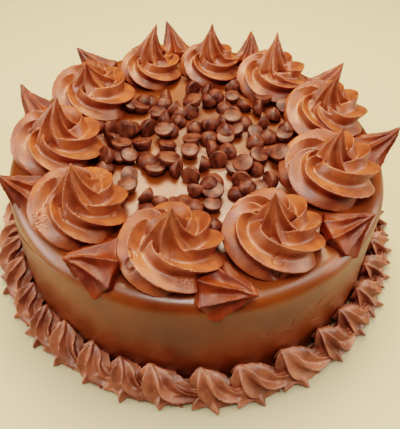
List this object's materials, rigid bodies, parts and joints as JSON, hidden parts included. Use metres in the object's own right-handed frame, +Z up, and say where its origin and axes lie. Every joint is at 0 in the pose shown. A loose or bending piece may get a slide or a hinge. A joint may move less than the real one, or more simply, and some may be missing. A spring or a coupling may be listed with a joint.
{
  "type": "chocolate cake",
  "caption": "Whole round cake with a smooth chocolate coat, piped swirls with stars between them, chocolate chips inside the ring and a piped shell border round the foot.",
  "frame": {"origin": "centre of the cake's underside, on the surface it stands on", "axes": "+Z up, -Y towards the side that the picture shows, +X to the right as seen from there"},
  "size_m": [0.2482, 0.2482, 0.1008],
  "materials": {
    "ganache": "smooth glossy chocolate coat",
    "buttercream": "satin chocolate buttercream"
  },
  "bodies": {
    "root": {"cake": "ganache", "shell_border": "buttercream", "swirl_01": "buttercream", "swirl_02": "buttercream", "swirl_03": "buttercream", "swirl_04": "buttercream", "swirl_05": "buttercream", "swirl_06": "buttercream", "swirl_07": "buttercream", "swirl_08": "buttercream", "swirl_09": "buttercream", "swirl_10": "buttercream", "star_01": "buttercream", "star_02": "buttercream", "star_03": "buttercream", "star_04": "buttercream", "star_05": "buttercream", "star_06": "buttercream", "star_07": "buttercream", "star_08": "buttercream", "star_09": "buttercream", "star_10": "buttercream"}
  },
  "joints": []
}
